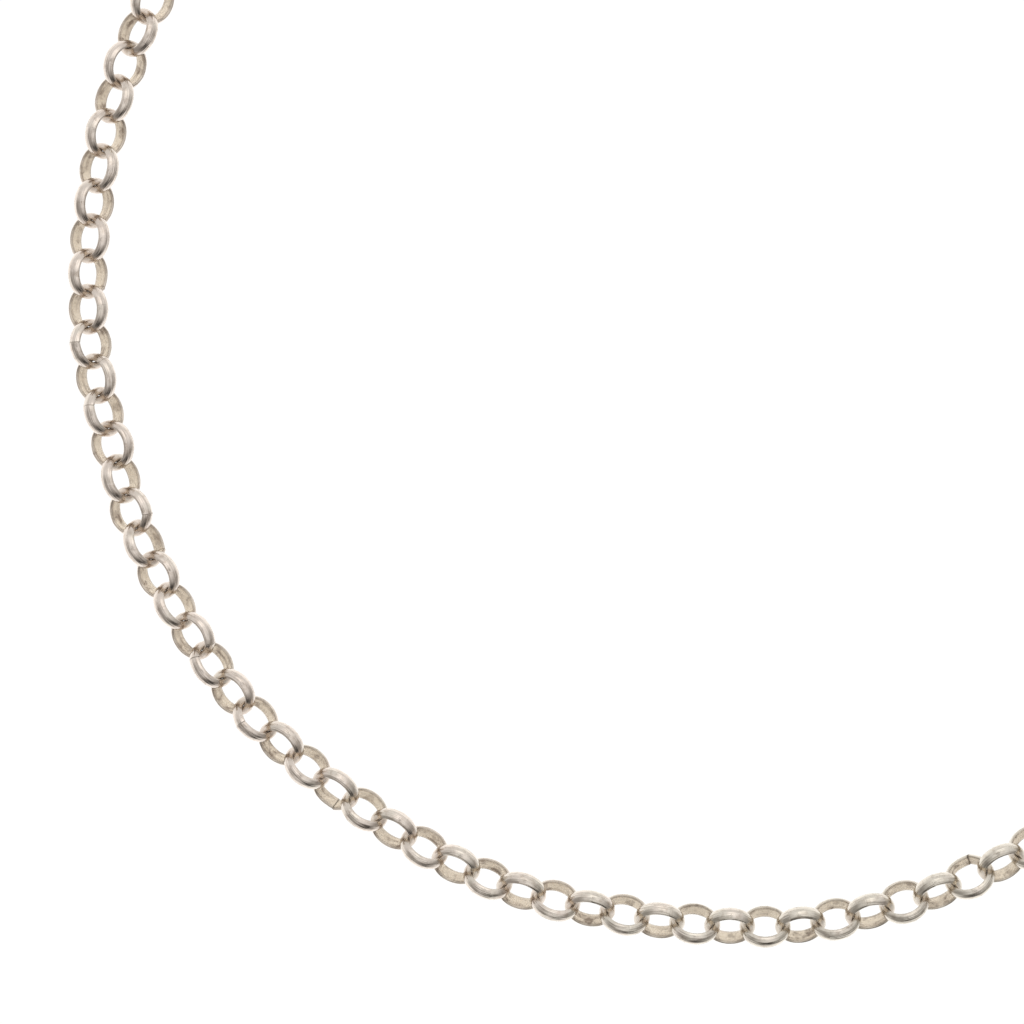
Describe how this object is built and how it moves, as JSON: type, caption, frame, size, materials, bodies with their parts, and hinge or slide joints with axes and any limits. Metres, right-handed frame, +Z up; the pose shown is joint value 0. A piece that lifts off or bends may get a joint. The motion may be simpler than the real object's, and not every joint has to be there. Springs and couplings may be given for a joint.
{
  "type": "rolo chain",
  "caption": "Rolo chain necklace: interlocked round links of half-round silver wire in a closed loop, lying flat, with a plain ring clasp at the back.",
  "frame": {"origin": "middle of the loop, on the surface that the chain lies on", "axes": "+Z up from the surface, +X to the picture's right, +Y to the picture's top; the chain's loop lies in the XY plane"},
  "size_m": [0.1482, 0.1484, 0.005],
  "materials": {
    "chain_silver": "worn sterling silver, soft polish, fine scratches and a warm grey tone between the links",
    "clasp_silver": "worn sterling silver, soft polish"
  },
  "bodies": {
    "root": {"chain": "chain_silver", "clasp": "clasp_silver"}
  },
  "joints": []
}
